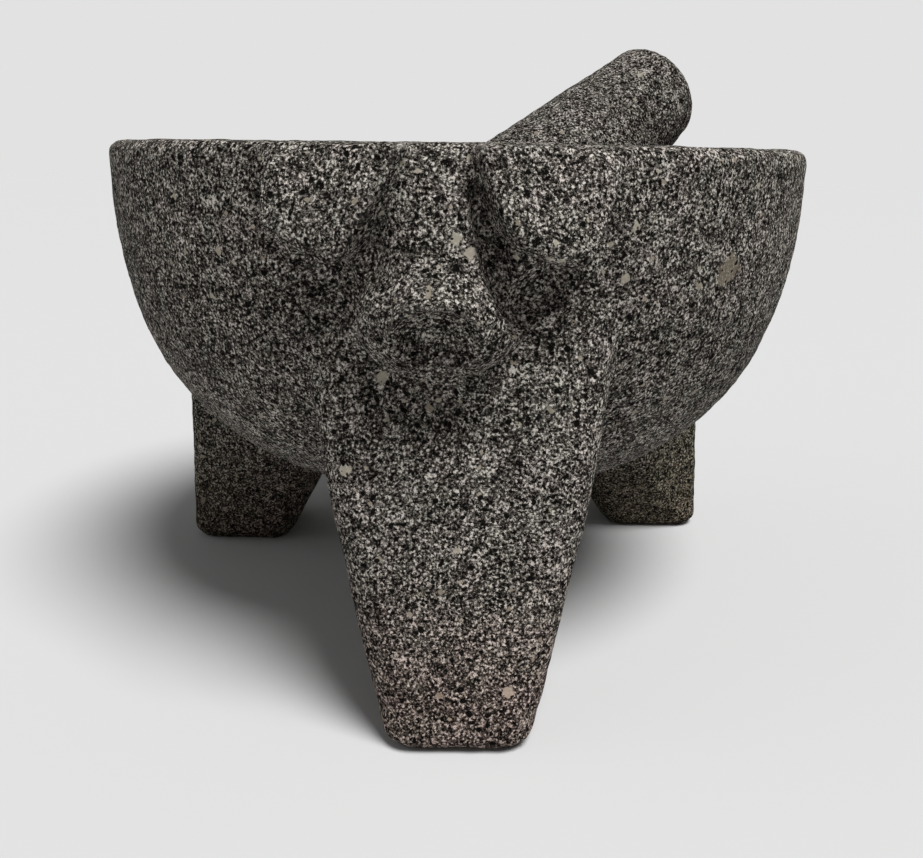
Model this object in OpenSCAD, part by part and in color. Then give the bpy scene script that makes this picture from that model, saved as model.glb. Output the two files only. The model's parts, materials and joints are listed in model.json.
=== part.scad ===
// Three-legged stone grinding bowl with a carved pig's head, and its hand stone.
// Millimetres, +Z up. The origin is on the ground, under the middle of the overall box.

/* [Bowl] */
// Radius of the bowl at its widest, just under the rim
bowl_r = 102; // [85:1:124]
// Height of the flat rim above the ground
rim_h = 141; // [132:1:170]
// Depth of the outside of the bowl, from the rim to its lowest point
bowl_drop = 101.7; // [96:0.1:118]
// How square the outside profile is: 2 is an ellipse, more is squarer
bowl_pow = 2.6; // [2.2:0.1:3]
// Width of the stone wall at the rim
rim_w = 15; // [12:0.5:20]
// Depth of the hollow, from the rim to its lowest point
hollow_depth = 76; // [64:1:78]
// How square the profile of the hollow is
hollow_pow = 2.25; // [2:0.05:2.6]
// Rounding of the outer edge of the rim
rim_round_out = 3.5; // [2:0.5:5]
// Rounding of the inner edge of the rim
rim_round_in = 4; // [2:0.5:5]

/* [Legs] */
// Width of each sole
foot_w = 37; // [30:1:44]
// How far the middle of the front sole stands inside the bowl's widest radius
front_foot_inset = 12; // [6:1:20]
// How far the middle of the rear right sole stands inside the bowl's widest radius
right_foot_inset = 6.5; // [6:0.5:20]
// How far the middle of the rear left sole stands inside the bowl's widest radius
left_foot_inset = 14; // [6:0.5:20]
// Direction of the front leg, anticlockwise from -Y
front_leg_at = 1.3; // [-5:0.1:5]
// Direction of the rear right leg, anticlockwise from +X
right_leg_at = 37; // [28:1:44]
// Direction of the rear left leg, clockwise from -X
left_leg_at = 26; // [20:1:40]
// Corner radius of a sole
foot_corner = 8; // [5:0.5:12]
// Rounding under the edge of a sole
sole_round = 3; // [1:0.5:4]
// Depth below the rim at which a rear leg has run out into the bowl
rear_root_drop = 50; // [44:1:60]
// Distance from the bowl's axis to the middle of a leg's inner root
leg_seat_r = 50; // [44:1:60]
// Depth below the rim at which the front leg has run out into the bowl
chest_drop = 40; // [36:1:50]
// How much higher the front leg's root is on its right than on its left
chest_skew = 14; // [0:1:16]
// Width of the front leg just under the pig's snout
chest_w = 74; // [56:1:78]
// Width of the front leg at its shoulder
shoulder_w = 62; // [52:1:70]
// Height of the front leg's shoulder
shoulder_h = 60; // [50:1:66]
// Width of a rear leg at its root
rear_root_w = 50; // [40:1:60]

/* [Pig head] */
// Turn of the head around the bowl from straight ahead, towards -X
head_turn = 1.9; // [0:0.1:10]
// How far the snout stands out of the bowl
snout_out = 15; // [8:1:22]
// Width of the snout's disc
snout_w = 21; // [16:1:26]
// Height of the snout's disc
snout_h = 17; // [14:1:22]
// Depth of the snout's disc below the rim
snout_drop = 39; // [32:1:42]
// Downward tilt of the snout's disc
snout_tilt = 20; // [5:1:30]
// Thickness of the snout's disc
snout_disc_t = 4; // [2:0.5:6]
// Chamfer around the face of the snout's disc
snout_chamfer = 1; // [0.5:0.5:2]
// Radius of the swelling that the snout grows out of
cheek_r = 17; // [14:0.5:20]
// Depth of the middle of that swelling below the rim
cheek_drop = 32; // [28:1:44]
// Width of the brow between the ears, at the rim
brow_w = 22; // [16:1:26]
// Rounding of the brow
brow_round = 6; // [4:0.5:8]
// How far the brow stands out of the bowl
brow_out = 2; // [0.5:0.5:4]
// Angle around the bowl from the head's middle to the middle of an ear
ear_at = 13.2; // [11:0.1:18]
// Width of an ear at the rim
ear_w = 32; // [22:1:34]
// Length of an ear from the rim down to its tip
ear_len = 25; // [20:1:30]
// How far an ear's tip lies to the right of the ear's middle
ear_tip_shift = 3; // [0:0.5:6]
// How far the lobe beside the tip lies to the left of the ear's middle
ear_lobe_shift = 7.5; // [4:0.5:10]
// Length of an ear from the rim down to its lobe
ear_lobe_len = 21; // [16:1:24]
// How far an ear's tip stands out of the bowl
ear_out = 8; // [5:0.5:12]
// Thickness of an ear
ear_t = 10; // [8:0.5:12]
// How far the top of the head lies below the rim's flat top
head_below_rim = 0.5; // [0.5:0.5:2]

/* [Hand stone] */
// Length of the hand stone
pestle_len = 138; // [115:1:165]
// Radius of its narrow end
pestle_top_r = 18; // [14:0.1:21]
// Radius of its grinding end
pestle_base_r = 30.7; // [27:0.1:36]
// Rounding of its narrow end
pestle_top_round = 9; // [5:0.5:12]
// Rounding of its grinding end
pestle_base_round = 14; // [8:0.5:18]
// Lean of the resting hand stone above level
pestle_lean = 34.5; // [30:0.1:37]
// Direction it leans in, anticlockwise from +X
pestle_at = 36; // [0:1:90]
// Gap left where the hand stone rests on the bowl
rest_gap = 0.35; // [0.25:0.05:0.5]

/* [Hidden] */
stone_colour = [0.24, 0.24, 0.25];
pestle_colour = [0.2, 0.2, 0.21];
curve_steps = 22;
arc_steps = 5;
blob_fn = 32;
root_blob = 8;
seat_blob = 10;
solve_steps = 26;
cut_over = 1;
hollow_r = bowl_r - rim_w;

// Radius of the outside of the bowl at height z, with the widest circle just under the rim.
widest_z = rim_h - rim_round_out;
outside_drop = bowl_drop - rim_round_out;
function outside_r(z) =
    bowl_r * pow(max(0, 1 - pow(max(0, widest_z - z) / outside_drop, bowl_pow)), 1 / bowl_pow);

// Radius of the hollow at height z.
lip_z = rim_h - rim_round_in;
inside_drop = hollow_depth - rim_round_in;
function hollow_r_at(z) =
    hollow_r * pow(max(0, 1 - pow(max(0, lip_z - z) / inside_drop, hollow_pow)), 1 / hollow_pow);

// Distance from the axis to the middle of the wall, at height z.
function wall_mid_r(z) = (outside_r(z) + hollow_r_at(z)) / 2;

// Height of the middle of the stone under the hollow, at distance r from the axis.
function dip(r, wide, drop, power) = drop * pow(1 - pow(r / wide, power), 1 / power);
function wall_mid_z(r) =
    (widest_z - dip(r, bowl_r, outside_drop, bowl_pow) + lip_z - dip(r, hollow_r, inside_drop, hollow_pow)) / 2;

// Points of a quarter of a squared ellipse, from its pole on the axis to its widest circle.
function quarter(r, drop, top, power) = [
    for (i = [0:curve_steps])
        let (a = 90 * i / curve_steps)
        [r * pow(sin(a), 2 / power), top - drop * pow(cos(a), 2 / power)]
];
function arc(c, r, from, to) = [
    for (i = [1:arc_steps])
        let (a = from + (to - from) * i / arc_steps)
        c + r * [cos(a), sin(a)]
];

// The whole object is centred front to back between its snout or toe and the bowl's back.
snout_z = rim_h - snout_drop;
snout_reach = outside_r(snout_z) + snout_out;
toe_reach = bowl_r - front_foot_inset + foot_w / 2;
centre_y = (max(snout_reach, toe_reach) - bowl_r) / 2;

// Where the hand stone rests, worked out in the upright plane that it leans in.
// Its underside touches the inner edge of the rim, and its grinding end the hollow.
pestle_taper = atan((pestle_base_r - pestle_top_r) / pestle_len);
along = [cos(pestle_lean), sin(pestle_lean)];
below = [sin(pestle_lean), -cos(pestle_lean)];
underside = [cos(pestle_lean + pestle_taper), sin(pestle_lean + pestle_taper)];
off_underside = [sin(pestle_lean + pestle_taper), -cos(pestle_lean + pestle_taper)];
lip_centre = [hollow_r + rim_round_in, lip_z];
underside_at = lip_centre * off_underside - pestle_base_r * cos(pestle_taper) - rim_round_in - rest_gap;
function pestle_foot(s) = off_underside * underside_at + underside * s;

// Distance from a point of that plane to the wall of the hollow, true close to the wall.
function wall_gap(p) =
    let (u = abs(p[0]) / hollow_r, v = max(0, lip_z - p[1]) / inside_drop)
    let (f = pow(pow(u, hollow_pow) + pow(v, hollow_pow), 1 / hollow_pow))
    let (gu = pow(u / f, hollow_pow - 1) / hollow_r, gv = pow(v / f, hollow_pow - 1) / inside_drop)
    (1 - f) / norm([gu, gv]);

// Rounded corner between the grinding end and the tapering side, as [radius, length along].
base_centre = [pestle_base_r - pestle_base_round, pestle_base_round];
top_centre = [pestle_top_r - pestle_top_round, pestle_len - pestle_top_round];
base_curve = arc(base_centre, pestle_base_round, -90, pestle_taper);
top_curve = arc(top_centre, pestle_top_round, pestle_taper, 90);
function end_gap(s) = min([
    for (q = base_curve, side = [-1, 1])
        wall_gap(pestle_foot(s) + along * q[1] + below * q[0] * side)
]);
function rest_at(low, high, steps) =
    steps == 0 ? high :
    let (middle = (low + high) / 2)
    end_gap(middle) < rest_gap ? rest_at(middle, high, steps - 1) : rest_at(low, middle, steps - 1);
pestle_start = pestle_foot(rest_at(-2 * bowl_r, pestle_len, solve_steps));

module bowl_outside() {
    rotate_extrude($fn = 96)
        polygon(concat(
            quarter(bowl_r, outside_drop, widest_z, bowl_pow),
            arc([bowl_r - rim_round_out, widest_z], rim_round_out, 0, 90),
            [[0, rim_h]]
        ));
}

module hollow() {
    rotate_extrude($fn = 96)
        polygon(concat(
            quarter(hollow_r, inside_drop, lip_z, hollow_pow),
            arc([hollow_r + rim_round_in, lip_z], rim_round_in, 180, 90),
            [[hollow_r + rim_round_in, rim_h + cut_over], [0, rim_h + cut_over]]
        ));
}

// Four rounded corners of a flat sole on the ground, for a hull to rise from.
module sole() {
    corner = foot_w / 2 - foot_corner;
    for (x = [-corner, corner], y = [-corner, corner])
        translate([x, y, 0]) {
            cylinder(r = foot_corner - sole_round, h = sole_round, $fn = blob_fn);
            translate([0, 0, sole_round])
                cylinder(r = foot_corner, h = sole_round, $fn = blob_fn);
        }
}

module blob(r) { sphere(r = r, $fn = blob_fn); }

// The inner root of a leg, inside the stone under the hollow.
module leg_seat() {
    for (side = [-1, 1])
        translate([leg_seat_r, side * foot_w / 4, wall_mid_z(leg_seat_r)]) blob(seat_blob);
}

// The front leg is the pig's chest: a broad trunk that narrows to the sole.
module front_leg() {
    shoulder_y = shoulder_w / 2 - root_blob;
    hull() {
        translate([bowl_r - front_foot_inset, 0, 0]) sole();
        leg_seat();
        for (side = [-1, 1]) {
            leg_root(rim_h - chest_drop + side * chest_skew / 2, side * (chest_w / 2 - root_blob));
            translate([toe_reach - foot_corner - root_blob, side * shoulder_y, shoulder_h]) blob(root_blob);
        }
    }
}

// Where a corner of a leg runs out into the bowl, at this height and distance across the leg.
module leg_root(z, across) {
    translate([sqrt(pow(outside_r(z) - root_blob, 2) - pow(across, 2)), across, z]) blob(root_blob);
}

// A rear leg is an upright pillar. Its sole stays square to the axes, as the block was cut.
module rear_leg(at, inset) {
    hull() {
        translate([bowl_r - inset, 0, 0]) rotate([0, 0, -at]) sole();
        leg_seat();
        for (side = [-1, 1]) leg_root(rim_h - rear_root_drop, side * (rear_root_w / 2 - root_blob));
    }
}

// A broad flap that hangs from the rim and stands further out at its tip.
module ear(side) {
    root_r = ear_t / 2;
    root_z = rim_h - root_r - head_below_rim;
    half = ear_w / 2 - root_r;
    hull() {
        for (edge = [-half, half]) ear_point(side, edge, root_z, ear_out / 2);
        ear_point(side, ear_tip_shift, rim_h - ear_len + root_r, ear_out);
        ear_point(side, -ear_lobe_shift, rim_h - ear_lobe_len + root_r, ear_out);
    }
}

// One rounded corner of an ear, at this distance to the right of its middle.
module ear_point(side, right, z, out) {
    rotate([0, 0, side * ear_at + asin(right / bowl_r)])
        translate([0, -outside_r(z) + ear_t / 2 - out, z]) blob(ear_t / 2);
}

// The swelling under the brow that the snout grows out of.
module cheeks() {
    cheek_z = rim_h - cheek_drop;
    translate([0, -wall_mid_r(cheek_z), cheek_z]) blob(cheek_r);
}

// The brow runs down between the ears, from the rim to the cheeks.
module brow() {
    brow_z = rim_h - brow_round - head_below_rim;
    hull() {
        for (side = [-1, 1])
            translate([side * (brow_w / 2 - brow_round), -outside_r(brow_z) + brow_round - brow_out, brow_z])
                blob(brow_round);
        cheeks();
    }
}

// The snout narrows from the cheeks to a flat disc that looks a little down.
module snout() {
    disc_y = snout_reach - snout_disc_t / 2 * cos(snout_tilt) - snout_h / 2 * sin(snout_tilt);
    hull() {
        cheeks();
        translate([0, -disc_y, snout_z])
            rotate([90 + snout_tilt, 0, 0])
                scale([1, snout_h / snout_w, 1])
                    cylinder(r1 = snout_w / 2, r2 = snout_w / 2 - snout_chamfer, h = snout_disc_t,
                        center = true, $fn = blob_fn);
    }
}

module stone_bowl() {
    color(stone_colour)
        translate([0, centre_y, 0])
            difference() {
                union() {
                    bowl_outside();
                    rotate([0, 0, -90 + front_leg_at]) front_leg();
                    rotate([0, 0, right_leg_at]) rear_leg(right_leg_at, right_foot_inset);
                    rotate([0, 0, 180 - left_leg_at]) rear_leg(180 - left_leg_at, left_foot_inset);
                    rotate([0, 0, -head_turn]) {
                        ear(-1);
                        ear(1);
                        brow();
                        snout();
                    }
                }
                hollow();
            }
}

module tejolote() {
    color(pestle_colour)
        translate([0, centre_y, 0])
            rotate([0, 0, pestle_at])
                translate([pestle_start[0], 0, pestle_start[1]])
                    rotate([0, 90 - pestle_lean, 0])
                        rotate_extrude($fn = 64)
                            polygon(concat([[0, 0], base_centre - [0, pestle_base_round]], base_curve,
                                top_curve, [[0, pestle_len]]));
}

stone_bowl();
tejolote();
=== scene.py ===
"""Finished looks for a carved basalt molcajete: the bowl with a pig's head, its hand stone, and a stage.

Each operator in the sidebar makes one piece. The bowl starts as a copy of the designed bowl, is carved with
shapes of its own, and is then dressed to a pecked stone surface. All sizes are in metres.
"""

import json
import math

import bpy
from mathutils import Matrix, Vector

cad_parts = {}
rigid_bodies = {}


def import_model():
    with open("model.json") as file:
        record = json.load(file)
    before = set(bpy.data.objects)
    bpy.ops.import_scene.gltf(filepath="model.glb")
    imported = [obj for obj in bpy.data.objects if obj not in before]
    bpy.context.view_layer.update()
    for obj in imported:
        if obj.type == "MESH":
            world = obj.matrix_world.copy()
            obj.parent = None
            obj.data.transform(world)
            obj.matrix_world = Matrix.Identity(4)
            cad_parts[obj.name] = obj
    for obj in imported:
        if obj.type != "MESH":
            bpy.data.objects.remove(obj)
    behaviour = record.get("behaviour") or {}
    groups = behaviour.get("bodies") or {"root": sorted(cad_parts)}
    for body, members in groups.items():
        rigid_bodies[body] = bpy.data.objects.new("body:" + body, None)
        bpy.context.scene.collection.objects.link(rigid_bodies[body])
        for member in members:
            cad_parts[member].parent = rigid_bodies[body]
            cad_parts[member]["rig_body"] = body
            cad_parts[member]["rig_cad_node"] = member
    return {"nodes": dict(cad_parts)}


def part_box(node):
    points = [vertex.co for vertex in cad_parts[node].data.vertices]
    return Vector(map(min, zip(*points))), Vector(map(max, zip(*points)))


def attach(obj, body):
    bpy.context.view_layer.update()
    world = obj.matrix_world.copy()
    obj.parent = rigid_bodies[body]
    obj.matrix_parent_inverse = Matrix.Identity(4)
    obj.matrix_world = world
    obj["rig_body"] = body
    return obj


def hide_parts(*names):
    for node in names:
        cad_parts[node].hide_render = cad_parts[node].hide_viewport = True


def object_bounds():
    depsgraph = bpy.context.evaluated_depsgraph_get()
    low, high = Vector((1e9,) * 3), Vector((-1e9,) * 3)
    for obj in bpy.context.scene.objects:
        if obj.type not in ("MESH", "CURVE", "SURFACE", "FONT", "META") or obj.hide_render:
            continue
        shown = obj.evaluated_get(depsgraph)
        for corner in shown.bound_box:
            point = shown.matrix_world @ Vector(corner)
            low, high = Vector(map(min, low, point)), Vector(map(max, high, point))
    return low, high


bl_info = {
    "name": "Carved Molcajete",
    "version": (1, 0, 0),
    "blender": (4, 5, 0),
    "location": "3D Viewport > Sidebar > Molcajete",
    "description": "Carves and dresses a basalt molcajete with a pig's head, its hand stone and a stage",
    "category": "Object",
}

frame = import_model()
CAD_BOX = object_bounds()
BOWL_LOW, BOWL_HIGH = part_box("stone_bowl")
RIM_R = (BOWL_HIGH.x - BOWL_LOW.x) / 2
RIM_Z = BOWL_HIGH.z
AXIS_Y = BOWL_HIGH.y - RIM_R

# Modelling, in metres. An ear is a block that is mostly sunk in the bowl.
EAR_BLOCK_DEPTH = 0.012
EAR_BELOW_RIM = 0.0005
SAME_PLACE = 1e-6

# Sizes of the coarse mottling and the crystal cells, as shares of the fine grain's scale.
MOTTLE_SCALE = 0.22
CRYSTAL_SCALE = 0.95

# How strongly each marking covers the stone under it, as a share.
FLECK_COVER = 0.8
PATCH_COVER = 0.6
RUST_COVER = 0.5
RUBBED_COVER = 0.35
# Painted shade: how dark the creases and hollows are coloured.
CREASE_SHADE_COVER = 0.5
# Painted shade: how dark the pores and creases are coloured.
PORE_AND_CREASE_SHADE_COVER = 0.98

# Tints of the weathered stretches of the stone and of the rest.
WEATHERED = (0.82, 0.82, 0.82)
UNTINTED = (1.0, 1.0, 1.0)

# Where painted shade darkens the stone as the lower part of a rear leg: behind the middle, and below the
# bowl. In metres.
REAR_FROM, REAR_BY = 0.0, 0.05
LEG_BELOW, LEG_ABOVE = 0.055, 0.080

# How high the grains and the crystals stand for in the relief, against the depth of a pore as 1.
GRAIN_RELIEF = 0.25
CRYSTAL_RELIEF = 0.2

# The row of the node tree that the single flecks start on.
FIRST_FLECK_ROW = 18


def length(name, description, default, **more):
    """A size in metres, for a PropertyGroup."""
    return bpy.props.FloatProperty(
        name=name, description=description, default=default, precision=5, subtype="DISTANCE",
        unit="LENGTH", **more)


def angle(name, description, degrees):
    """A turn, for a PropertyGroup."""
    return bpy.props.FloatProperty(
        name=name, description=description, default=math.radians(degrees), subtype="ANGLE", unit="ROTATION")


def share(name, description, default, highest=1.0):
    """A plain number from nothing upwards, for a PropertyGroup."""
    return bpy.props.FloatProperty(name=name, description=description, default=default, min=0.0, max=highest)


def colour(name, description, default):
    """A linear colour, for a PropertyGroup."""
    return bpy.props.FloatVectorProperty(
        name=name, description=description, default=default, size=3, min=0.0, max=1.0, subtype="COLOR")


def place(name, description, default):
    """A point in metres, for a PropertyGroup."""
    return bpy.props.FloatVectorProperty(
        name=name, description=description, default=default, size=3, precision=5, subtype="XYZ",
        unit="LENGTH")


class MolcajeteSurface(bpy.types.PropertyGroup):
    """How finely the stones are dressed, and how deep their relief is."""

    bowl_mesh: length("Bowl mesh", "Size of the faces that the bowl is dressed with", 0.00105)
    hand_mesh: length("Hand stone mesh", "Size of the faces that the hand stone is dressed with", 0.00085)
    wave_size: length("Wave size", "Width of the shallow waves that carving by hand leaves", 0.016)
    wave_depth: length("Wave depth", "Depth of those waves", 0.0008)
    peck_size: length("Peck size", "Width of the marks that pecking leaves", 0.0028)
    peck_depth: length("Peck depth", "Depth of those marks", 0.0004)
    most_faces: bpy.props.IntProperty(
        name="Most faces", description="Number of triangles that a finished stone is thinned to",
        default=190000)


class MolcajeteHead(bpy.types.PropertyGroup):
    """The pig's head. Heights are drops below the rim, and right and left are seen from the front."""

    turn: angle("Turn", "Turn of the head around the bowl towards the left", 1.9)
    ear_at: angle("Ear angle", "From the head's middle to the middle of an ear", 13.2)
    ear_left: length("Ear left", "From the middle of an ear to its left edge at the rim", 0.0172)
    ear_right: length("Ear right", "From the middle of an ear to its right edge at the rim", 0.0185)
    ear_drop: length("Ear drop", "Height of an ear from its tip to the rim", 0.0262)
    ear_tip: length("Ear tip", "How far the tip's corner lies to the right of the middle", 0.0053)
    ear_lobe: length("Ear lobe", "How far the lobe's corner lies to the left of the middle", 0.0115)
    ear_lobe_rise: length("Ear lobe rise", "How much higher the lobe's corner is than the tip's", 0.0064)
    ear_out: length("Ear out", "How far an ear's tip stands out of the bowl", 0.0100)
    ear_top_out: length("Ear top out", "How far an ear stands out of the bowl at the rim", 0.0020)
    ear_fold: angle("Ear fold", "Turn of an ear's face towards the outside, which sinks its outer edge", 8)
    ear_corner: length("Ear corner", "Rounding of an ear's outline", 0.0052)
    ear_arris: length("Ear arris", "Rounding of an ear's front edge", 0.0008)
    disc_right: length("Disc right", "How far the snout's disc lies to the right of the bowl's axis", -0.0034)
    disc_out: length("Disc out", "From the bowl's axis out to the face of the snout's disc", 0.1110)
    disc_drop: length("Disc drop", "From the rim down to the middle of the snout's disc", 0.0404)
    disc_wide: length("Disc width", "Half the width of the dish in the snout's disc", 0.0100)
    disc_high: length("Disc height", "Half the height of that dish", 0.0077)
    disc_deep: length("Disc depth", "Depth of that dish", 0.0050)
    disc_tilt: angle("Disc tilt", "How far the snout's disc looks down", 25)


class MolcajeteStone(bpy.types.PropertyGroup):
    """The grains, pores and colours of the basalt."""

    grain_size: length("Grain size", "Width of the dark and pale grains", 0.00066)
    pore_spacing: length("Pore spacing", "Distance between the larger pores", 0.0023)
    small_pore_spacing: length("Small pore spacing", "Distance between the fine pores", 0.0011)
    crystal_spacing: length("Crystal spacing", "Distance between the small pale crystals", 0.0012)
    grit_spacing: length("Grit spacing", "Distance between the small feldspar grits", 0.0042)
    fleck_spacing: length("Fleck spacing", "Distance between the large feldspar flecks", 0.0095)
    relief: length("Relief", "Depth that the grains and pores stand for in the shading", 0.00035)
    # Painted shade: the pores are coloured this dark for the shade in them. The grain's colour ramp also
    # starts at this colour.
    pore: colour("Pore", "Colour in the depth of a pore", (0.003, 0.003, 0.0025))
    dark_grain: colour("Dark grain", "Colour of the dark minerals", (0.024, 0.0215, 0.019))
    grey_grain: colour("Grey grain", "Colour of the body of the stone", (0.080, 0.072, 0.063))
    pale_grain: colour("Pale grain", "Colour of the pale minerals", (0.245, 0.226, 0.203))
    crystal: colour("Crystal", "Colour of the small bright crystals", (0.70, 0.67, 0.62))
    fleck: colour("Fleck", "Colour of the large feldspar flecks", (0.43, 0.40, 0.33))
    cool_tint: colour("Cool tint", "Tint of the greener stretches of the stone", (0.955, 0.965, 0.935))
    warm_tint: colour("Warm tint", "Tint of the redder stretches of the stone", (0.99, 0.945, 0.945))
    rust: colour("Rust", "Tint of the brown stain around the front sole", (1.0, 0.74, 0.70))
    rubbed: colour("Rubbed", "Colour of edges that are rubbed pale", (0.24, 0.23, 0.215))
    # Painted shade: darkens and greens the lower rear legs, which the bowl shades.
    rear_leg_shade: colour("Rear leg shade", "Tint of the darker rear legs", (0.62, 0.66, 0.56))
    tan_fleck: colour("Tan fleck", "Colour of the flecks that have weathered", (0.25, 0.215, 0.165))
    roughness: share("Roughness", "Roughness of the dry stone", 0.93)
    shine: share("Shine", "How strongly the dry stone reflects", 0.03)


class MolcajeteFlecks(bpy.types.PropertyGroup):
    """The flecks that stand out most on the front of the bowl, each by its middle."""

    tan_patch: place("Tan patch", "Weathered patch on the right wall", (0.0650, -0.0708, 0.1130))
    patch_r: length("Patch radius", "Radius of the weathered patch", 0.0042)
    left_of_snout: place("Left of the snout", "Fleck beside the snout", (-0.0161, -0.0889, 0.0896))
    right_of_ear: place("Right of the ear", "Fleck on the right wall", (0.0378, -0.0874, 0.1125))
    high_on_brow: place("High on the brow", "Upper fleck on the brow", (0.0004, -0.1001, 0.1215))
    low_on_brow: place("Low on the brow", "Lower fleck on the brow", (0.0033, -0.0998, 0.1187))
    leg_root: place("Leg root", "Fleck at the root of the front leg", (-0.0245, -0.0925, 0.0686))
    foot: place("Foot", "Fleck low on the front leg", (0.0140, -0.1006, 0.0166))
    fleck_r: length("Fleck radius", "Radius of these flecks", 0.0015)


class MolcajeteStudio(bpy.types.PropertyGroup):
    """The camera, the lights and the floor."""

    camera_distance: length("Camera distance", "From the bowl's axis to the camera, along the floor", 0.3015)
    camera_side: length("Camera side", "How far the camera stands to the right of the bowl's axis", 0.0021)
    camera_height: length("Camera height", "Height of the camera above the floor", 0.1378)
    camera_dip: angle("Camera dip", "How far the camera looks down", 16.2)
    camera_roll: angle("Camera roll", "How far the camera is rolled", 0.871)
    lens: bpy.props.FloatProperty(name="Lens", description="Focal length in millimetres", default=36.43)
    floor_r: length("Floor radius", "Radius of the round floor", 6.0)
    floor_depth: length("Floor depth", "Thickness of the floor", 0.05)
    floor_colour: colour("Floor colour", "Colour of the floor", (0.54, 0.54, 0.54))
    key_strength: share("Key strength", "Strength of the main light, high on the front right", 4.3, 100.0)
    key_height: angle("Key height", "How high the main light stands above the floor", 64)
    key_side: angle("Key side", "How far the main light is turned to the right of straight ahead", 39)
    key_softness: angle("Key softness", "How wide the main light looks from the bowl", 26)
    side_strength: share("Side strength", "Strength of the weak light low on the left", 0.42, 100.0)
    side_height: angle("Side height", "How high the weak light stands above the floor", 14)
    side_turn: angle("Side turn", "How far the weak light is turned to the right of straight ahead", -82)
    side_softness: angle("Side softness", "How wide the weak light looks from the bowl", 60)
    backdrop: share("Backdrop", "How bright the empty studio behind the floor looks", 0.76)
    sky_strength: share("Sky strength", "Strength of the even light from all around", 0.18, 10.0)


# ---------------------------------------------------------------- modelling


def deselect():
    """Leaves nothing selected, because an operator acts on all that is."""
    if bpy.context.object and bpy.context.object.mode != "OBJECT":
        bpy.ops.object.mode_set(mode="OBJECT")
    bpy.ops.object.select_all(action="DESELECT")


def take(piece):
    """Makes one object the only selected one, and the active one."""
    deselect()
    piece.select_set(True)
    bpy.context.view_layer.objects.active = piece


def copy_node(node, name):
    """A merged copy of a designed piece, standing free, for a finished piece to start from."""
    take(frame["nodes"][node])
    bpy.ops.object.duplicate()
    piece = bpy.context.object
    bpy.ops.object.parent_clear(type="CLEAR_KEEP_TRANSFORM")
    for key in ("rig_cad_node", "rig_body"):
        if key in piece:
            del piece[key]
    piece.name = piece.data.name = name
    piece.data.materials.clear()
    bpy.ops.object.mode_set(mode="EDIT")
    bpy.ops.mesh.select_all(action="SELECT")
    bpy.ops.mesh.remove_doubles(threshold=SAME_PLACE)
    bpy.ops.object.mode_set(mode="OBJECT")
    return piece


def apply_modifier(piece, kind, **values):
    """Adds a modifier with these values and applies it."""
    take(piece)
    modifier = piece.modifiers.new(kind.title(), kind)
    for key, value in values.items():
        setattr(modifier, key, value)
    bpy.ops.object.modifier_apply(modifier=modifier.name)


def on_bowl(right, out, drop):
    """A point seen from the front: this far right of the bowl's axis, out from it, and down from the rim."""
    return Vector((right, AXIS_Y - out, RIM_Z - drop))


def combine(stone, tool, operation):
    """Takes a shape away from the stone, or makes it one with the stone, and removes the shape."""
    take(tool)
    bpy.ops.object.transform_apply(location=True, rotation=True, scale=True)
    apply_modifier(stone, "BOOLEAN", operation=operation, solver="EXACT", object=tool)
    bpy.data.objects.remove(tool)


def ball(stone, right, out, drop, radii, tilt=0.0, lean=0.0, operation="DIFFERENCE"):
    """Carves a round-bottomed hollow out of the stone, or adds a round swelling.

    radii are its half sizes across, in depth and in height. tilt turns its front down, and lean turns its
    top to the right.
    """
    deselect()
    bpy.ops.mesh.primitive_uv_sphere_add(
        segments=48, ring_count=24, radius=1.0, location=on_bowl(right, out, drop),
        rotation=(tilt, lean, 0.0), scale=radii)
    combine(stone, bpy.context.object, operation)


def pick(mesh, wanted):
    """In edit mode, leaves only the vertices selected whose place passes the wanted test."""
    bpy.ops.mesh.select_mode(type="VERT")
    bpy.ops.mesh.select_all(action="DESELECT")
    bpy.ops.object.mode_set(mode="OBJECT")
    for vertex in mesh.vertices:
        vertex.select = wanted(vertex.co)
    bpy.ops.object.mode_set(mode="EDIT")


def carve_ear(side):
    """A flat flap with a crisp edge that hangs from the rim, with its tip further out than its root."""
    head = bpy.context.scene.molcajete_head
    deselect()
    bpy.ops.mesh.primitive_cube_add(size=1.0)
    ear = bpy.context.object
    ear.name = "ear"
    bpy.ops.object.mode_set(mode="EDIT")
    bpy.ops.transform.resize(
        value=(head.ear_left + head.ear_right, EAR_BLOCK_DEPTH, head.ear_drop),
        center_override=(0.0, 0.0, 0.0))
    bpy.ops.transform.translate(
        value=((head.ear_right - head.ear_left) / 2, EAR_BLOCK_DEPTH / 2 - head.ear_top_out,
               -head.ear_drop / 2))
    outwards = head.ear_top_out - head.ear_out
    pick(ear.data, lambda co: co.z < -head.ear_drop / 2 and co.x > 0)
    bpy.ops.transform.translate(value=(head.ear_tip - head.ear_right, outwards, 0.0))
    pick(ear.data, lambda co: co.z < -head.ear_drop / 2 and co.x < 0)
    bpy.ops.transform.translate(value=(head.ear_left - head.ear_lobe, outwards, head.ear_lobe_rise))
    pick(ear.data, lambda co: co.z < -head.ear_drop / 2)
    bpy.ops.mesh.select_mode(type="EDGE")
    bpy.ops.object.mode_set(mode="OBJECT")
    low = [v.co.z < -head.ear_drop / 2 for v in ear.data.vertices]
    for edge in ear.data.edges:
        a, b = (ear.data.vertices[i].co for i in edge.vertices)
        edge.select = all(low[i] for i in edge.vertices) and abs(a.x - b.x) < SAME_PLACE
    bpy.ops.object.mode_set(mode="EDIT")
    bpy.ops.mesh.bevel(offset=head.ear_corner, segments=6)
    pick(ear.data, lambda co: co.y < 0)
    bpy.ops.mesh.bevel(offset=head.ear_arris, segments=2)
    bpy.ops.object.mode_set(mode="OBJECT")
    around = side * head.ear_at - head.turn
    ear.rotation_euler = (0.0, 0.0, around + side * head.ear_fold)
    ear.location = on_bowl(RIM_R * math.sin(around), RIM_R * math.cos(around), EAR_BELOW_RIM)
    take(ear)
    bpy.ops.object.transform_apply(location=True, rotation=True, scale=True)
    return ear


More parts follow.
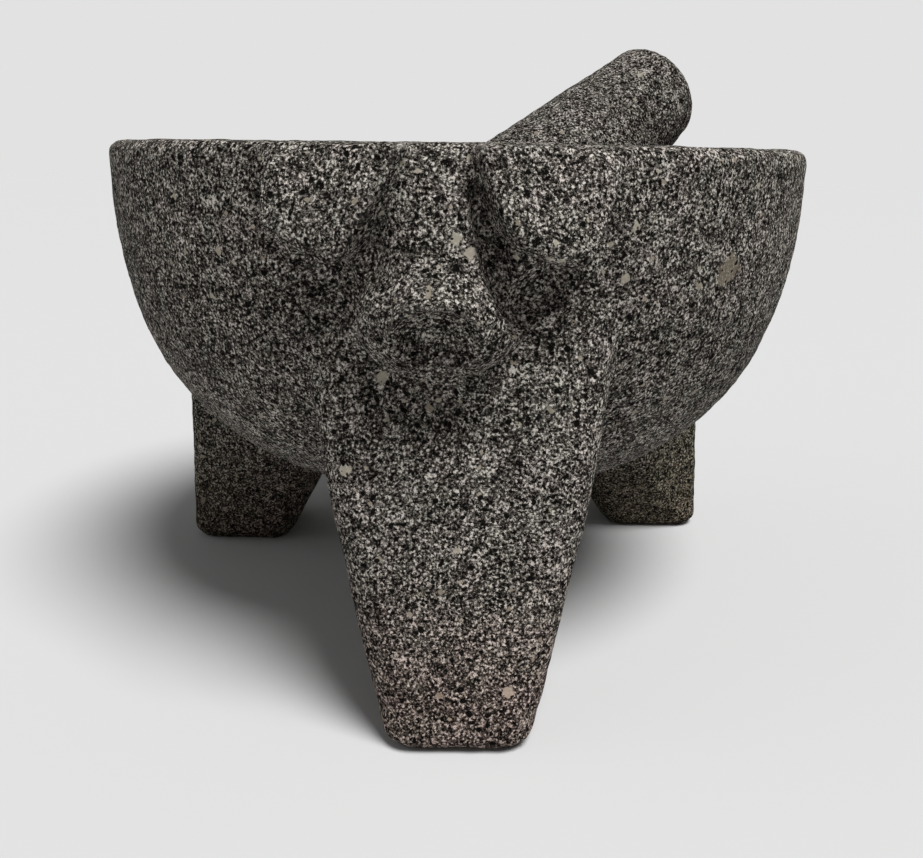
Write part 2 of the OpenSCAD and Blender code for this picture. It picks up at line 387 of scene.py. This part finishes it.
def carve_head(bowl):
    """Swells the muzzle, sinks the hollows around the ears and the snout, and adds the ears."""
    # The muzzle.
    ball(bowl, right=-0.0034, out=0.0970, drop=0.0372, radii=(0.0190, 0.0142, 0.0135), operation="UNION")
    # The hollow below the left ear.
    ball(bowl, right=-0.0320, out=0.0990, drop=0.0350, radii=(0.0125, 0.0070, 0.0150))
    # The hollow below the right ear, and the groove along that ear's inner edge.
    ball(bowl, right=0.0190, out=0.1010, drop=0.0310, radii=(0.0060, 0.0065, 0.0115), lean=math.radians(42))
    ball(bowl, right=0.0085, out=0.1035, drop=0.0220, radii=(0.0036, 0.0060, 0.0160), lean=math.radians(-16))
    # The hollow under the snout.
    ball(bowl, right=-0.0030, out=0.1032, drop=0.0590, radii=(0.0125, 0.0080, 0.0140))
    carve_disc(bowl)
    ears = [carve_ear(side) for side in (-1, 1)]
    take(bowl)
    for ear in ears:
        ear.select_set(True)
    bpy.ops.object.join()


def carve_disc(bowl):
    """Dishes the flat end of the snout, so that it has a round edge."""
    head = bpy.context.scene.molcajete_head
    ball(bowl, head.disc_right, head.disc_out, head.disc_drop,
         (head.disc_wide, head.disc_deep, head.disc_high), tilt=head.disc_tilt)


def relief_texture(name, kind, size, **values):
    """A built-in texture whose pattern is size wide, for the Displace modifier."""
    texture = bpy.data.textures.new(name, kind)
    texture.noise_scale = size
    for key, value in values.items():
        setattr(texture, key, value)
    return texture


def dress_surface(piece, face_size):
    """Turns a piece into one skin of small faces with carving waves and pecking marks.

    What hangs below the lowest point of the designed model is then cut off.
    """
    surface = bpy.context.scene.molcajete_surface
    apply_modifier(piece, "REMESH", mode="VOXEL", voxel_size=face_size, adaptivity=0.0)
    apply_modifier(piece, "SMOOTH", factor=0.5, iterations=1)
    waves = relief_texture("Carving waves", "CLOUDS", surface.wave_size, noise_depth=2)
    apply_modifier(
        piece, "DISPLACE", texture=waves, texture_coords="LOCAL", strength=surface.wave_depth, mid_level=0.55)
    pecks = relief_texture("Pecking marks", "CLOUDS", surface.peck_size, noise_depth=1)
    apply_modifier(
        piece, "DISPLACE", texture=pecks, texture_coords="LOCAL", strength=surface.peck_depth, mid_level=0.6)
    piece.data.calc_loop_triangles()
    faces = len(piece.data.loop_triangles)
    if faces > surface.most_faces:
        apply_modifier(piece, "DECIMATE", ratio=surface.most_faces / faces)
    take(piece)
    bpy.ops.object.mode_set(mode="EDIT")
    bpy.ops.mesh.select_all(action="SELECT")
    bpy.ops.mesh.bisect(
        plane_co=(0.0, 0.0, CAD_BOX[0][2]), plane_no=(0.0, 0.0, 1.0), clear_inner=True, use_fill=True)
    bpy.ops.object.mode_set(mode="OBJECT")
    bpy.ops.object.shade_smooth()


# ---------------------------------------------------------------- stone material


def add_node(tree, kind, at, **values):
    """One shader node. A value whose name is an input's sets that input, and any other sets the node."""
    node = tree.nodes.new("ShaderNode" + kind)
    node.location = (at[0] * 200, -at[1] * 180)
    for key, value in values.items():
        plain = key.replace("_", " ").title()
        if plain in node.inputs:
            node.inputs[plain].default_value = value
        else:
            setattr(node, key, value)
    return node


def maths(tree, operation, a, b, at, clamp=False):
    """A Math node on two values, each a socket or a number."""
    node = tree.nodes.new("ShaderNodeMath")
    node.operation, node.use_clamp = operation, clamp
    node.location = (at[0] * 200, -at[1] * 180)
    for socket, value in zip(node.inputs, (a, b)):
        if hasattr(value, "is_linked"):
            tree.links.new(value, socket)
        else:
            socket.default_value = value
    return node.outputs[0]


def remap(tree, value, low, high, to_low, to_high, at, soft=True):
    """A Map Range node, smooth unless said otherwise."""
    node = tree.nodes.new("ShaderNodeMapRange")
    node.interpolation_type = "SMOOTHSTEP" if soft else "LINEAR"
    node.location = (at[0] * 200, -at[1] * 180)
    for socket, given in zip(node.inputs, (value, low, high, to_low, to_high)):
        if hasattr(given, "is_linked"):
            tree.links.new(given, socket)
        else:
            socket.default_value = given
    return node.outputs[0]


def blend(tree, factor, a, b, at, mode="MIX"):
    """A colour Mix node on two colours, each a socket or a colour."""
    node = tree.nodes.new("ShaderNodeMix")
    node.data_type, node.blend_type = "RGBA", mode
    node.location = (at[0] * 200, -at[1] * 180)
    for socket, given in zip((node.inputs[0], node.inputs[6], node.inputs[7]), (factor, a, b)):
        if hasattr(given, "is_linked"):
            tree.links.new(given, socket)
        elif isinstance(given, (int, float)):
            socket.default_value = given
        else:
            socket.default_value = (*given, 1.0)
    return node.outputs[2]


def new_group(name, inputs, outputs):
    """An empty shader node group with named number and colour sockets."""
    group = bpy.data.node_groups.new(name, "ShaderNodeTree")
    for label, kind, default in inputs:
        socket = group.interface.new_socket(label, in_out="INPUT", socket_type="NodeSocket" + kind)
        if default is not None:
            socket.default_value = default
    for label, kind in outputs:
        group.interface.new_socket(label, in_out="OUTPUT", socket_type="NodeSocket" + kind)
    source = group.nodes.new("NodeGroupInput")
    sink = group.nodes.new("NodeGroupOutput")
    source.location, sink.location = (-600, 0), (1800, 0)
    return group, source.outputs, sink.inputs


def stir(tree, vector, size, amount, at):
    """The same place, shifted a little by noise, so that what is drawn there gets a ragged outline."""
    noise = add_node(tree, "TexNoise", at, Detail=1.0)
    tree.links.new(vector, noise.inputs["Vector"])
    tree.links.new(maths(tree, "DIVIDE", 1.0, size, (at[0] - 1, at[1] + 1)), noise.inputs["Scale"])
    centred = add_node(tree, "VectorMath", (at[0] + 1, at[1]), operation="SUBTRACT")
    centred.inputs[1].default_value = (0.5, 0.5, 0.5)
    tree.links.new(noise.outputs["Color"], centred.inputs[0])
    sized = add_node(tree, "VectorMath", (at[0] + 2, at[1]), operation="SCALE")
    tree.links.new(centred.outputs[0], sized.inputs[0])
    tree.links.new(maths(tree, "MULTIPLY", size, amount, (at[0] + 1, at[1] + 1)), sized.inputs["Scale"])
    moved = add_node(tree, "VectorMath", (at[0] + 3, at[1]), operation="ADD")
    tree.links.new(vector, moved.inputs[0])
    tree.links.new(sized.outputs[0], moved.inputs[1])
    return moved.outputs[0]


def grain_group():
    """Salt-and-pepper grain: a tone from dark to pale, with toned crystals and coarser mottling."""
    group, given, gives = new_group(
        "Basalt grain",
        [("Vector", "Vector", None), ("Size", "Float", 0.001), ("Crystals", "Float", 0.3),
         ("Mottling", "Float", 0.3)],
        [("Tone", "Float")])
    scale = maths(group, "DIVIDE", 1.0, given["Size"], (-1, 1))
    fine = add_node(group, "TexNoise", (0, 0), Detail=4.0, Roughness=0.75)
    coarse = add_node(group, "TexNoise", (0, 2), Detail=2.0, Roughness=0.6)
    cells = add_node(group, "TexVoronoi", (0, 4), Randomness=1.0)
    for node, share_of_scale in ((fine, 1.0), (coarse, MOTTLE_SCALE), (cells, CRYSTAL_SCALE)):
        group.links.new(given["Vector"], node.inputs["Vector"])
        group.links.new(maths(group, "MULTIPLY", scale, share_of_scale, (-1, 2)), node.inputs["Scale"])
    cell_tone = add_node(group, "SeparateColor", (1, 4))
    group.links.new(cells.outputs["Color"], cell_tone.inputs[0])
    darkest, palest = 0.28, 0.72
    base = remap(group, fine.outputs["Fac"], darkest, palest, 0.0, 1.0, (1, 0), soft=False)
    crystal = maths(group, "MULTIPLY", maths(group, "SUBTRACT", cell_tone.outputs[0], 0.5, (2, 4)),
                    given["Crystals"], (3, 4))
    mottle = maths(group, "MULTIPLY", maths(group, "SUBTRACT", coarse.outputs["Fac"], 0.5, (2, 2)),
                   given["Mottling"], (3, 2))
    tone = maths(group, "ADD", maths(group, "ADD", base, crystal, (4, 0)), mottle, (5, 0), clamp=True)
    group.links.new(tone, gives["Tone"])
    return group


def spot_group(name, edge, least, metric="EUCLIDEAN"):
    """Ragged spots of mixed sizes, one to a cell at most.

    It gives a mask that is 1 in a spot, and a chance that each spot has of its own. edge is how far out from
    a spot's middle the mask starts to fade, and least is the size of the smallest spot, both as shares.
    """
    group, given, gives = new_group(
        name,
        [("Vector", "Vector", None), ("Spacing", "Float", 0.003), ("Share", "Float", 0.5),
         ("Widest", "Float", 0.5), ("Raggedness", "Float", 0.5)],
        [("Mask", "Float"), ("Chance", "Float")])
    ragged = stir(group, given["Vector"], given["Spacing"], given["Raggedness"], (-2, 0))
    cells = add_node(group, "TexVoronoi", (2, 0), Randomness=1.0, distance=metric)
    group.links.new(ragged, cells.inputs["Vector"])
    group.links.new(maths(group, "DIVIDE", 1.0, given["Spacing"], (1, 1)), cells.inputs["Scale"])
    chance = add_node(group, "SeparateColor", (3, 1))
    group.links.new(cells.outputs["Color"], chance.inputs[0])
    there = maths(group, "LESS_THAN", chance.outputs[0], given["Share"], (4, 1))
    mixed = remap(group, chance.outputs[1], 0.0, 1.0, least, 1.0, (4, 2), soft=False)
    wide = maths(group, "MULTIPLY", mixed, given["Widest"], (5, 2))
    radius = maths(group, "MULTIPLY", wide, there, (6, 1))
    inner = maths(group, "MULTIPLY", radius, edge, (6, 2))
    past = maths(group, "ADD", radius, 1e-4, (6, 3))
    mask = remap(group, cells.outputs["Distance"], inner, past, 1.0, 0.0, (7, 0))
    group.links.new(mask, gives["Mask"])
    group.links.new(chance.outputs[2], gives["Chance"])
    return group


def lump_group():
    """One ragged spot round a given middle: a mask that is 1 in the spot."""
    group, given, gives = new_group(
        "Single fleck", [("Vector", "Vector", None), ("Middle", "Vector", None), ("Radius", "Float", 0.001)],
        [("Mask", "Float")])
    raggedness, fade_from = 1.3, 0.75
    ragged = stir(group, given["Vector"], given["Radius"], raggedness, (-2, 0))
    gap = add_node(group, "VectorMath", (3, 0), operation="DISTANCE")
    group.links.new(ragged, gap.inputs[0])
    group.links.new(given["Middle"], gap.inputs[1])
    inner = maths(group, "MULTIPLY", given["Radius"], fade_from, (3, 2))
    mask = remap(group, gap.outputs["Value"], inner, given["Radius"], 1.0, 0.0, (4, 0))
    group.links.new(mask, gives["Mask"])
    return group


def cloud_group():
    """Broad patches, a few centimetres wide, for stain and weathering."""
    group, given, gives = new_group(
        "Weather patches", [("Vector", "Vector", None), ("Size", "Float", 0.03)], [("Patch", "Float")])
    noise = add_node(group, "TexNoise", (0, 0), Detail=3.0, Roughness=0.6)
    group.links.new(given["Vector"], noise.inputs["Vector"])
    group.links.new(maths(group, "DIVIDE", 1.0, given["Size"], (-1, 1)), noise.inputs["Scale"])
    group.links.new(remap(group, noise.outputs["Fac"], 0.35, 0.65, 0.0, 1.0, (1, 0)), gives["Patch"])
    return group


def wear_and_crease_shade_group():
    """Pale rubbed edges, and painted shade that darkens the hollows, from how the surface bends."""
    group, _, gives = new_group("Worn edges and crease shade", [], [("Edge", "Float"), ("Crease shade", "Float")])
    deep_hollow, slight_hollow, slight_edge, sharp_edge = 0.40, 0.48, 0.53, 0.62
    bend = add_node(group, "NewGeometry", (0, 0)).outputs["Pointiness"]
    group.links.new(remap(group, bend, slight_edge, sharp_edge, 0.0, 1.0, (1, 0)), gives["Edge"])
    group.links.new(remap(group, bend, deep_hollow, slight_hollow, 1.0, 0.0, (1, 2)), gives["Crease shade"])
    return group


def use_group(tree, group, at, vector=None, **values):
    """A placed node group with its own values."""
    node = tree.nodes.new("ShaderNodeGroup")
    node.node_tree = group
    node.location = (at[0] * 200, -at[1] * 180)
    if vector:
        tree.links.new(vector, node.inputs["Vector"])
    for key, value in values.items():
        node.inputs[key.replace("_", " ")].default_value = value
    return node.outputs


def effects():
    """The node groups that both stones share, made once."""
    groups = bpy.data.node_groups
    if "Basalt grain" not in groups:
        grain_group()
        spot_group("Basalt pores", edge=0.66, least=0.35)
        spot_group("Pale crystals", edge=0.55, least=0.4)
        spot_group("Feldspar", edge=0.80, least=0.3, metric="MANHATTAN")
        lump_group()
        cloud_group()
        wear_and_crease_shade_group()
    return groups


def single_flecks(tree, spot, under):
    """Paints the flecks that are placed one by one over what is under them."""
    stone, flecks = bpy.context.scene.molcajete_stone, bpy.context.scene.molcajete_flecks
    single = bpy.data.node_groups["Single fleck"]
    middles = [key for key in MolcajeteFlecks.__annotations__ if not key.endswith("_r")]
    for row, key in enumerate(middles, FIRST_FLECK_ROW):
        wide, tint, cover = flecks.fleck_r, stone.fleck, FLECK_COVER
        if key == "tan_patch":
            wide, tint, cover = flecks.patch_r, stone.tan_fleck, PATCH_COVER
        mask = use_group(tree, single, (-4, row), spot, Middle=getattr(flecks, key), Radius=wide)["Mask"]
        under = blend(tree, maths(tree, "MULTIPLY", mask, cover, (-2, row)), under, tint, (-1, row))
    return under


def stone_material(name, tone, rust_top, flecks_and_rear_shade):
    """Vesicular basalt. tone lightens or darkens it, and rust_top is the height that brown stain reaches.

    The last argument adds the single flecks and the painted shade that darkens the rear legs, which belong to
    the bowl.
    """
    stone = bpy.context.scene.molcajete_stone
    material = bpy.data.materials.new(name)
    material.use_nodes = True
    tree = material.node_tree
    tree.nodes.clear()
    groups = effects()
    spot = add_node(tree, "TexCoord", (-6, 0)).outputs["Object"]
    grain = use_group(tree, groups["Basalt grain"], (-4, 0), spot, Size=stone.grain_size,
                      Crystals=0.24, Mottling=0.50)["Tone"]
    pores = use_group(tree, groups["Basalt pores"], (-4, 2), spot, Spacing=stone.pore_spacing,
                      Share=0.60, Widest=0.38, Raggedness=0.7)
    fine_pores = use_group(tree, groups["Basalt pores"], (-4, 4), spot, Spacing=stone.small_pore_spacing,
                           Share=0.6, Widest=0.42, Raggedness=0.8)
    crystals = use_group(tree, groups["Pale crystals"], (-4, 6), spot, Spacing=stone.crystal_spacing,
                         Share=0.32, Widest=0.38, Raggedness=0.6)
    grits = use_group(tree, groups["Feldspar"], (-4, 7), spot, Spacing=stone.grit_spacing,
                      Share=0.85, Widest=0.30, Raggedness=0.5)
    flecks = use_group(tree, groups["Feldspar"], (-4, 8), spot, Spacing=stone.fleck_spacing,
                       Share=0.60, Widest=0.23, Raggedness=0.45)
    patch = use_group(tree, groups["Weather patches"], (-4, 10), spot, Size=0.035)["Patch"]
    hue = use_group(tree, groups["Weather patches"], (-4, 11), spot, Size=0.009)["Patch"]
    # The rubbed edges are wear; the hollow output is painted shade for the creases.
    wear_and_crease_shade = use_group(tree, groups["Worn edges and crease shade"], (-4, 12))

    ground = add_node(tree, "ValToRGB", (-2, 0))
    ramp = ground.color_ramp
    stops = ((0.28, stone.pore), (0.40, stone.dark_grain), (0.52, stone.grey_grain),
             (0.66, stone.pale_grain), (0.80, stone.crystal))
    for _ in range(len(stops) - len(ramp.elements)):
        ramp.elements.new(0.5)
    for element, (at, tint) in zip(ramp.elements, stops):
        element.position = at
        element.color = (*(c * tone for c in tint), 1.0)
    tree.links.new(grain, ground.inputs[0])
    pale = maths(tree, "MULTIPLY", crystals["Mask"], remap(
        tree, crystals["Chance"], 0.0, 1.0, 0.15, 1.0, (-3, 6), soft=False), (-2, 6))
    with_crystals = blend(tree, pale, ground.outputs[0], [c * tone for c in stone.crystal], (-1, 0))
    with_grits = blend(tree, maths(tree, "MULTIPLY", grits["Mask"], FLECK_COVER, (-2, 7)), with_crystals,
                       blend(tree, grits["Chance"], stone.fleck, stone.tan_fleck, (-2, 8)), (-1, 1))
    with_flecks = blend(tree, maths(tree, "MULTIPLY", flecks["Mask"], FLECK_COVER, (-1, 9)), with_grits,
                        blend(tree, flecks["Chance"], stone.fleck, stone.tan_fleck, (-1, 8)), (0, 0))
    if flecks_and_rear_shade:
        with_flecks = single_flecks(tree, spot, with_flecks)
    height = add_node(tree, "SeparateXYZ", (-4, 14))
    tree.links.new(spot, height.inputs[0])
    low = remap(tree, height.outputs[2], 0.0, rust_top, RUST_COVER, 0.0, (-3, 14))
    rust_and_rear_shade = blend(tree, low, with_flecks, blend(tree, 1.0, with_flecks, stone.rust, (0, 2), "MULTIPLY"),
                  (1, 0))
    # Painted shade: the lower rear legs are darkened and greened where the bowl shades them.
    if flecks_and_rear_shade:
        behind = maths(tree, "MULTIPLY",
                       remap(tree, height.outputs[1], REAR_FROM, REAR_BY, 0.0, 1.0, (-3, 15)),
                       remap(tree, height.outputs[2], LEG_BELOW, LEG_ABOVE, 1.0, 0.0, (-3, 16)), (-2, 15))
        rear_leg_shaded = blend(tree, 1.0, rust_and_rear_shade, stone.rear_leg_shade, (1, 3), "MULTIPLY")
        rust_and_rear_shade = blend(tree, behind, rust_and_rear_shade, rear_leg_shaded, (1, 4))
    tint = blend(tree, hue, stone.cool_tint, stone.warm_tint, (0, 3))
    toned = blend(tree, 1.0, rust_and_rear_shade, tint, (1, 5), "MULTIPLY")
    shade = blend(tree, patch, WEATHERED, UNTINTED, (1, 2))
    weathered = blend(tree, 1.0, toned, shade, (2, 0), "MULTIPLY")
    edge = maths(tree, "MULTIPLY", wear_and_crease_shade["Edge"], RUBBED_COVER, (1, 12))
    worn = blend(tree, edge, weathered, stone.rubbed, (3, 0))
    # Painted shade: the pores and the creases are coloured near black for the shade in them; the pores also
    # sink in the bump further on.
    hole = maths(tree, "MAXIMUM", pores["Mask"], fine_pores["Mask"], (0, 4))
    crease_shade = maths(tree, "MULTIPLY", wear_and_crease_shade["Crease shade"], CREASE_SHADE_COVER, (1, 13))
    pore_and_crease_shade = maths(tree, "MAXIMUM", hole, crease_shade, (1, 4))
    pore_and_crease_shade_cover = maths(tree, "MULTIPLY", pore_and_crease_shade, PORE_AND_CREASE_SHADE_COVER, (2, 4))
    paint = blend(tree, pore_and_crease_shade_cover, worn, stone.pore, (4, 0))

    body = add_node(tree, "BsdfPrincipled", (7, 0))
    body.inputs["Roughness"].default_value = stone.roughness
    body.inputs["Specular IOR Level"].default_value = stone.shine
    tree.links.new(paint, body.inputs["Base Color"])
    lift = maths(tree, "MULTIPLY", grain, GRAIN_RELIEF, (3, 4))
    raised = maths(tree, "ADD", lift, maths(tree, "MULTIPLY", pale, CRYSTAL_RELIEF, (3, 5)), (4, 4))
    level = maths(tree, "SUBTRACT", raised, hole, (5, 4))
    bump = add_node(tree, "Bump", (6, 4))
    bump.inputs["Strength"].default_value = 1.0
    bump.inputs["Distance"].default_value = stone.relief
    tree.links.new(level, bump.inputs["Height"])
    tree.links.new(bump.outputs[0], body.inputs["Normal"])
    out = add_node(tree, "OutputMaterial", (9, 0))
    tree.links.new(body.outputs[0], out.inputs["Surface"])
    return material


# ---------------------------------------------------------------- the pieces


class MOLCAJETE_OT_bowl(bpy.types.Operator):
    """Carve and dress the stone bowl with its legs and the pig's head"""

    bl_idname = "molcajete.bowl"
    bl_label = "Stone Bowl"

    def execute(self, context):
        bowl = copy_node("stone_bowl", "carved_bowl")
        carve_head(bowl)
        dress_surface(bowl, context.scene.molcajete_surface.bowl_mesh)
        bowl.data.materials.append(
            stone_material("Basalt", tone=0.89, rust_top=0.06, flecks_and_rear_shade=True))
        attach(bowl, "bowl")
        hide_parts("stone_bowl")
        return {"FINISHED"}


class MOLCAJETE_OT_hand_stone(bpy.types.Operator):
    """Dress the loose hand stone"""

    bl_idname = "molcajete.hand_stone"
    bl_label = "Hand Stone"

    def execute(self, context):
        stone = copy_node("tejolote", "hand_stone")
        dress_surface(stone, context.scene.molcajete_surface.hand_mesh)
        stone.data.materials.append(
            stone_material("Hand stone basalt", tone=0.80, rust_top=0.001, flecks_and_rear_shade=False))
        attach(stone, "hand_stone")
        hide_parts("tejolote")
        return {"FINISHED"}


# ---------------------------------------------------------------- the stage


def plain_material(name, tint):
    """A matt paint for the floor."""
    material = bpy.data.materials.new(name)
    material.use_nodes = True
    body = material.node_tree.nodes["Principled BSDF"]
    body.inputs["Base Color"].default_value = (*tint, 1.0)
    body.inputs["Roughness"].default_value = 0.9
    body.inputs["Specular IOR Level"].default_value = 0.1
    return material


def far_light(name, strength, height, side, softness):
    """A wide soft light far away, this high above the floor and this far round to the right of the front."""
    bpy.ops.object.light_add(type="SUN", location=(0.0, 0.0, 1.0))
    lamp = bpy.context.object
    lamp.name = lamp.data.name = name
    lamp.data.energy = strength
    lamp.data.angle = softness
    lamp.rotation_euler = (math.pi / 2 - height, 0.0, side)


class MOLCAJETE_OT_stage(bpy.types.Operator):
    """Set up the floor, the lights and the camera"""

    bl_idname = "molcajete.stage"
    bl_label = "Studio Stage"

    def execute(self, context):
        studio = context.scene.molcajete_studio
        deselect()
        bpy.ops.mesh.primitive_circle_add(vertices=128, radius=studio.floor_r, fill_type="NGON")
        floor = bpy.context.object
        floor.name = floor.data.name = "studio_floor"
        bpy.ops.object.mode_set(mode="EDIT")
        bpy.ops.mesh.select_all(action="SELECT")
        bpy.ops.mesh.extrude_region_move(TRANSFORM_OT_translate={"value": (0.0, 0.0, -studio.floor_depth)})
        bpy.ops.mesh.select_all(action="SELECT")
        bpy.ops.mesh.normals_make_consistent(inside=False)
        bpy.ops.object.mode_set(mode="OBJECT")
        floor.data.materials.append(plain_material("Studio paint", studio.floor_colour))

        far_light("Key light", studio.key_strength, studio.key_height, studio.key_side, studio.key_softness)
        far_light(
            "Side light", studio.side_strength, studio.side_height, studio.side_turn, studio.side_softness)

        world = bpy.data.worlds.new("Even sky")
        world.use_nodes = True
        sky = world.node_tree.nodes["Background"]
        sky.inputs["Color"].default_value = (1.0, 1.0, 1.0, 1.0)
        seen = add_node(world.node_tree, "LightPath", (-2, 0)).outputs["Is Camera Ray"]
        strength = remap(
            world.node_tree, seen, 0.0, 1.0, studio.sky_strength, studio.backdrop, (-1, 0), soft=False)
        world.node_tree.links.new(strength, sky.inputs["Strength"])
        context.scene.world = world
        context.scene.view_settings.view_transform = "Standard"

        viewpoint = (studio.camera_side, AXIS_Y - studio.camera_distance, studio.camera_height)
        bpy.ops.object.camera_add(location=viewpoint)
        camera = bpy.context.object
        camera.name = camera.data.name = "Front camera"
        look = Matrix.Rotation(math.pi / 2 - studio.camera_dip, 4, "X")
        roll = Matrix.Rotation(studio.camera_roll, 4, "Z")
        camera.rotation_euler = (look @ roll).to_euler()
        camera.data.sensor_width = 36.0
        camera.data.lens = studio.lens
        camera.data.clip_start = 0.01
        context.scene.camera = camera
        return {"FINISHED"}


class MOLCAJETE_PT_panel(bpy.types.Panel):
    """The molcajete's pieces, and their sizes and colours"""

    bl_idname = "MOLCAJETE_PT_panel"
    bl_label = "Carved Molcajete"
    bl_space_type = "VIEW_3D"
    bl_region_type = "UI"
    bl_category = "Molcajete"

    def draw(self, context):
        for operator in OPERATORS:
            self.layout.operator(operator.bl_idname)
        for label, group in GROUPS.items():
            box = self.layout.box()
            settings = getattr(context.scene, label)
            for key in group.__annotations__:
                box.prop(settings, key)


OPERATORS = (MOLCAJETE_OT_stage, MOLCAJETE_OT_bowl, MOLCAJETE_OT_hand_stone)
GROUPS = {
    "molcajete_head": MolcajeteHead,
    "molcajete_surface": MolcajeteSurface,
    "molcajete_stone": MolcajeteStone,
    "molcajete_flecks": MolcajeteFlecks,
    "molcajete_studio": MolcajeteStudio,
}


def register():
    """Adds the settings, the operators and the panel to Blender."""
    for group in (*GROUPS.values(), *OPERATORS, MOLCAJETE_PT_panel):
        bpy.utils.register_class(group)
    for label, group in GROUPS.items():
        setattr(bpy.types.Scene, label, bpy.props.PointerProperty(type=group))


def unregister():
    """Takes the settings, the operators and the panel out again."""
    for label in GROUPS:
        delattr(bpy.types.Scene, label)
    for group in reversed((*GROUPS.values(), *OPERATORS, MOLCAJETE_PT_panel)):
        bpy.utils.unregister_class(group)


def main():
    """Registers the add-on, then makes the stage and every piece."""
    register()
    bpy.ops.molcajete.stage()
    bpy.ops.molcajete.bowl()
    bpy.ops.molcajete.hand_stone()


if __name__ == "__main__":
    main()
